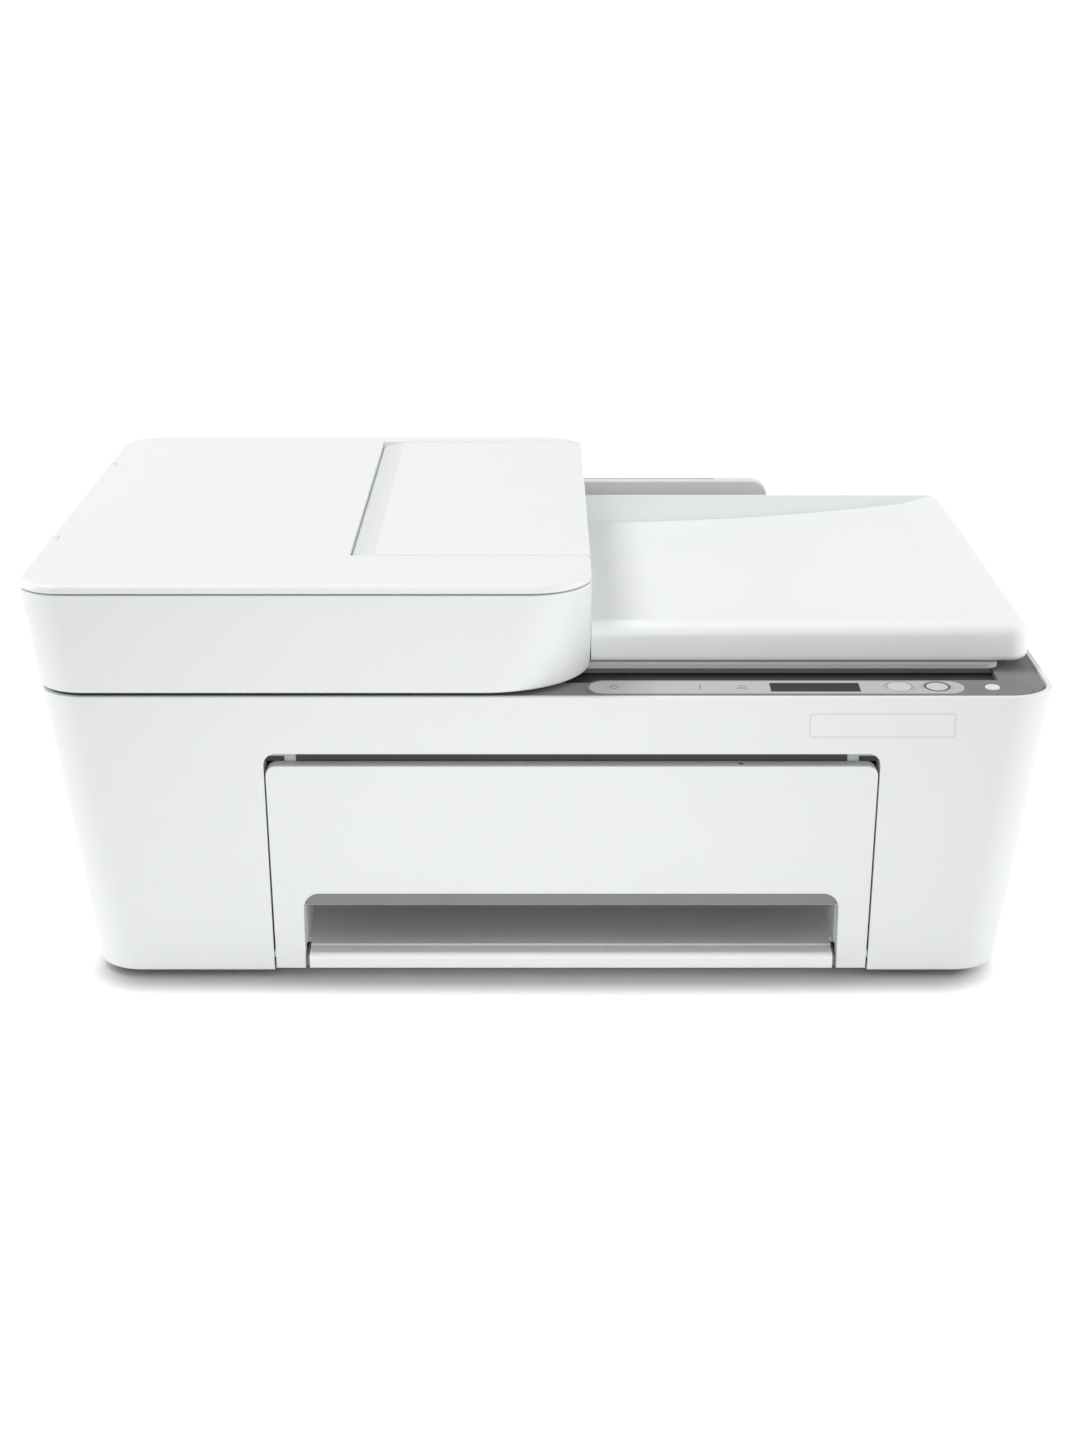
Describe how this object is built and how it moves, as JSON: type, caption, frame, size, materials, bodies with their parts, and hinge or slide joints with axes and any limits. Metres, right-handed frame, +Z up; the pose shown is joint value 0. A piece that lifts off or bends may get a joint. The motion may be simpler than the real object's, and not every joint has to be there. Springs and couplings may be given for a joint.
{
  "type": "inkjet printer",
  "caption": "Low all-in-one inkjet printer with a lidded flatbed scanner, top document feeder and dished tray, front access door with paper exit, and a hinged rear paper support.",
  "frame": {"origin": "centre of the footprint on the table, under the rubber feet", "axes": "+X to the right seen from the front, along the width; +Y from the front face to the rear support; +Z up"},
  "size_m": [0.4279, 0.332, 0.172],
  "materials": {
    "white_shell": "fine satin moulding",
    "tray_white": "fine satin moulding",
    "deck_grey": "fine matt moulding",
    "panel_grey": "satin",
    "panel_light": "smooth satin",
    "display_dark": "gloss",
    "button_light": "satin",
    "support_grey": "fine matt moulding",
    "inner_grey": "fine matt moulding",
    "inner_black": "fine matt moulding",
    "cartridge_dark": "satin",
    "soft_rubber": "matt rubber",
    "zinc_steel": "zinc plated sheet",
    "ground_steel": "ground rod",
    "gear_plastic": "natural acetal",
    "pinion_brass": "cut brass",
    "board_green": "solder mask",
    "clear_glass": "float glass",
    "film_clear": "printed film",
    "pad_white": "foam backed film"
  },
  "bodies": {
    "base": {"base_casing": "white_shell", "bay_rail": "inner_grey", "bottom_pan": "inner_black", "rubber_feet": "soft_rubber", "scanner_deck": "deck_grey", "platen_glass": "clear_glass", "feeder_glass": "clear_glass", "scan_bed": "inner_black", "scan_rod": "ground_steel", "control_panel": "panel_grey", "panel_inset": "panel_light", "display_window": "display_dark", "panel_board": "board_green", "chassis": "zinc_steel", "carriage_rod": "ground_steel", "transfer_belt": "soft_rubber", "feed_motor": "ground_steel", "carriage_motor": "ground_steel", "carriage_belt": "soft_rubber", "encoder_strip": "film_clear", "platen": "inner_grey", "exit_floor": "inner_grey", "service_station": "inner_black", "main_board": "board_green", "power_supply": "inner_black", "power_inlet": "inner_black", "data_socket": "zinc_steel", "rear_chute": "inner_black", "hinge_posts": "inner_black"},
    "scanner_lid": {"lid_plate": "deck_grey", "feeder_housing": "white_shell", "document_tray": "tray_white", "platen_pad": "pad_white", "feeder_guide": "inner_black"},
    "feed_cover": {"feeder_cover": "white_shell"},
    "document_flap": {"input_flap": "white_shell"},
    "document_roller": {"feeder_roller": "soft_rubber"},
    "document_pick": {"separator_roller": "soft_rubber"},
    "door": {"front_door": "white_shell"},
    "extender": {"tray_extender": "white_shell"},
    "support": {"rear_support": "support_grey"},
    "extension": {"support_extension": "support_grey"},
    "guide_left": {"left_guide": "support_grey"},
    "guide_right": {"right_guide": "support_grey"},
    "print_carriage": {"carriage": "inner_black", "colour_cartridge": "cartridge_dark", "black_cartridge": "cartridge_dark"},
    "belt_drive": {"drive_pulley": "gear_plastic"},
    "belt_idler": {"idler_pulley": "gear_plastic"},
    "feed_shaft": {"feed_roller": "ground_steel", "feed_tyres": "soft_rubber", "feed_gear": "gear_plastic"},
    "exit_shaft": {"exit_roller": "ground_steel", "exit_tyres": "soft_rubber"},
    "pinion": {"motor_pinion": "pinion_brass"},
    "pick_shaft": {"pick_roller": "soft_rubber"},
    "scanner_bar": {"scan_bar": "inner_black"},
    "stop_key": {"stop_button": "button_light"},
    "start_key": {"start_button": "button_light"},
    "power_key": {"power_button": "button_light"}
  },
  "joints": [
    {"name": "lid_hinge", "type": "hinge", "parent": "base", "child": "scanner_lid", "pos_m": [0, 0.126, 0.136], "axis": [-1, 0, 0], "range_deg": [0, 60]},
    {"name": "cover_hinge", "type": "hinge", "parent": "scanner_lid", "child": "feed_cover", "pos_m": [-0.21265, -0.016, 0.1703], "axis": [0, -1, 0], "range_deg": [0, 65]},
    {"name": "flap_hinge", "type": "hinge", "parent": "feed_cover", "child": "document_flap", "pos_m": [0.01995, 0.0015, 0.1703], "axis": [0, 1, 0], "range_deg": [0, 160]},
    {"name": "document_roller_spin", "type": "hinge", "parent": "scanner_lid", "child": "document_roller", "pos_m": [-0.1645, -0.012, 0.1495], "axis": [0, 1, 0], "continuous": true},
    {"name": "document_pick_spin", "type": "hinge", "parent": "feed_cover", "child": "document_pick", "pos_m": [-0.1005, -0.012, 0.158], "axis": [0, 1, 0], "continuous": true},
    {"name": "door_hinge", "type": "hinge", "parent": "base", "child": "door", "pos_m": [0.0135, -0.1625, 0.0095], "axis": [1, 0, 0], "range_deg": [0, 70]},
    {"name": "extender_slide", "type": "slide", "parent": "base", "child": "extender", "axis": [0, -1, 0], "range_m": [0, 0.115]},
    {"name": "support_hinge", "type": "hinge", "parent": "base", "child": "support", "pos_m": [0.0135, 0.162, 0.07], "axis": [-1, 0, 0], "range_deg": [0, 26]},
    {"name": "extension_slide", "type": "slide", "parent": "support", "child": "extension", "axis": [0, 0, 1], "range_m": [0, 0.05]},
    {"name": "guide_right_slide", "type": "slide", "parent": "support", "child": "guide_right", "axis": [-1, 0, 0], "range_m": [0, 0.06]},
    {"name": "guide_left_slide", "type": "slide", "parent": "support", "child": "guide_left", "axis": [1, 0, 0], "range_m": [0, 0.06]},
    {"name": "carriage_slide", "type": "slide", "parent": "base", "child": "print_carriage", "axis": [1, 0, 0], "range_m": [0, 0.27]},
    {"name": "belt_drive_spin", "type": "hinge", "parent": "base", "child": "belt_drive", "pos_m": [0.1635, 0.049, 0.08], "axis": [0, 1, 0], "continuous": true},
    {"name": "belt_idler_spin", "type": "hinge", "parent": "base", "child": "belt_idler", "pos_m": [-0.1565, 0.049, 0.08], "axis": [0, 1, 0], "continuous": true},
    {"name": "feed_shaft_spin", "type": "hinge", "parent": "base", "child": "feed_shaft", "pos_m": [0, 0.068, 0.03], "axis": [1, 0, 0], "continuous": true},
    {"name": "exit_shaft_spin", "type": "hinge", "parent": "base", "child": "exit_shaft", "pos_m": [0, -0.062, 0.03], "axis": [1, 0, 0], "continuous": true},
    {"name": "pinion_spin", "type": "hinge", "parent": "base", "child": "pinion", "pos_m": [-0.179, 0.08868, 0.05068], "axis": [1, 0, 0], "continuous": true},
    {"name": "pick_shaft_spin", "type": "hinge", "parent": "base", "child": "pick_shaft", "pos_m": [0.0135, 0.131, 0.066], "axis": [1, 0, 0], "continuous": true},
    {"name": "scan_slide", "type": "slide", "parent": "base", "child": "scanner_bar", "axis": [1, 0, 0], "range_m": [0, 0.32]},
    {"name": "stop_press", "type": "slide", "parent": "base", "child": "stop_key", "axis": [0, 0.0704, -0.9975], "range_m": [0, 0.0006], "stiffness_N_per_m": 800},
    {"name": "start_press", "type": "slide", "parent": "base", "child": "start_key", "axis": [0, 0.0704, -0.9975], "range_m": [0, 0.0006], "stiffness_N_per_m": 800},
    {"name": "power_press", "type": "slide", "parent": "base", "child": "power_key", "axis": [0, 0.0704, -0.9975], "range_m": [0, 0.0006], "stiffness_N_per_m": 800}
  ],
  "couplings": [
    {"joint": "guide_left_slide", "follows": "guide_right_slide", "ratio": 1},
    {"joint": "belt_drive_spin", "follows": "carriage_slide", "rad_per_m": -150.38},
    {"joint": "belt_idler_spin", "follows": "carriage_slide", "rad_per_m": -150.38},
    {"joint": "exit_shaft_spin", "follows": "feed_shaft_spin", "ratio": 1},
    {"joint": "pinion_spin", "follows": "feed_shaft_spin", "ratio": -3.1429}
  ]
}
